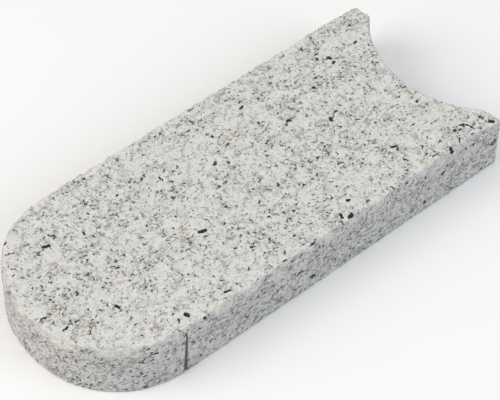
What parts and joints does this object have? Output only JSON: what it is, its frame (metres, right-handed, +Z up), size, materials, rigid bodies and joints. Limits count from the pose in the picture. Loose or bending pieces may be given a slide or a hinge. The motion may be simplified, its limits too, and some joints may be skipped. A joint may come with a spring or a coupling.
{
  "type": "lawn edging stone",
  "caption": "Flat sawn granite edging stone with a rounded nose and a hollow end, so that stones laid end to end nest into a mowing edge.",
  "frame": {"origin": "middle of the bed face, the underside that the stone lies on", "axes": "+X runs along the stone from the rounded nose to the hollow end, +Y across it away from the nicked side, +Z up"},
  "size_m": [0.25, 0.106, 0.03],
  "materials": {
    "granite": "matte, rough dressed top and sawn sides"
  },
  "bodies": {
    "root": {"edging_stone": "granite"}
  },
  "joints": []
}
